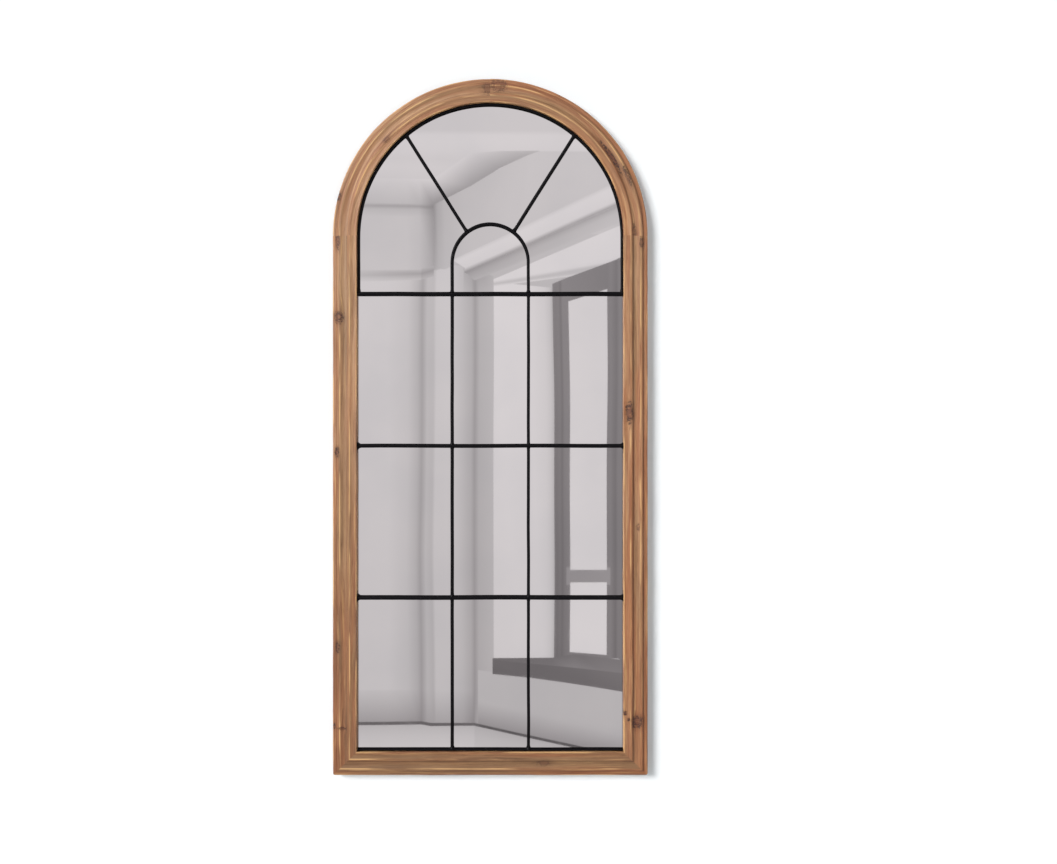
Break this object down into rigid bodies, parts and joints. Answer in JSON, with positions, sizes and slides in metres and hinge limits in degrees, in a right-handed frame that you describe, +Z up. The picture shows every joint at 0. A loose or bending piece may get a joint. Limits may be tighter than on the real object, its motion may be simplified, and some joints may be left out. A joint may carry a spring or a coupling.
{
  "type": "wall mirror",
  "caption": "Tall round-headed wall mirror: stepped wood moulding, silvered pane behind a welded black window grille, and strap hangers with swinging rings on the back.",
  "frame": {"origin": "middle of the footprint, level with the underside of the frame", "axes": "+Z up, front faces -Y, +X to the right as seen from the front"},
  "size_m": [0.71, 0.0386, 1.57],
  "materials": {
    "stained_wood": "brushed, stained and waxed softwood with knots",
    "dowel_wood": "fluted hardwood dowel",
    "silvered_glass": "clear float glass, silvered at the back",
    "foam": "thin closed-cell foam",
    "board": "smooth hardboard",
    "black_steel": "satin black paint",
    "zinc_plate": "bright zinc plate",
    "rubber": "matt rubber"
  },
  "bodies": {
    "frame": {"arch_left": "stained_wood", "arch_right": "stained_wood", "backing_board": "board", "board_screws": "zinc_plate", "bottom_rail": "stained_wood", "bottom_rod": "black_steel", "crown_dowels": "dowel_wood", "foam_sheet": "foam", "grille_tabs": "black_steel", "hanger_screws": "zinc_plate", "hoop_rod": "black_steel", "inner_arch_rod": "black_steel", "left_corner_dowels": "dowel_wood", "left_hanger_strap": "zinc_plate", "left_spoke": "black_steel", "left_spring_dowels": "dowel_wood", "left_stile": "stained_wood", "left_upright_lower": "black_steel", "left_upright_middle": "black_steel", "left_upright_upper": "black_steel", "lower_crossbar": "black_steel", "middle_crossbar": "black_steel", "mirror_pane": "silvered_glass", "right_corner_dowels": "dowel_wood", "right_hanger_strap": "zinc_plate", "right_spoke": "black_steel", "right_spring_dowels": "dowel_wood", "right_stile": "stained_wood", "right_upright_lower": "black_steel", "right_upright_middle": "black_steel", "right_upright_upper": "black_steel", "tab_screws": "zinc_plate", "upper_crossbar": "black_steel", "wall_pads": "rubber", "weld_beads": "black_steel"},
    "left_ring": {"left_hanger_ring": "zinc_plate"},
    "right_ring": {"right_hanger_ring": "zinc_plate"}
  },
  "joints": [
    {"name": "left_ring_swing", "type": "hinge", "parent": "frame", "child": "left_ring", "pos_m": [-0.341, 0.01603, 1.155], "axis": [1, 0, 0], "range_deg": [0, 180]},
    {"name": "right_ring_swing", "type": "hinge", "parent": "frame", "child": "right_ring", "pos_m": [0.341, 0.01603, 1.155], "axis": [1, 0, 0], "range_deg": [0, 180]}
  ]
}
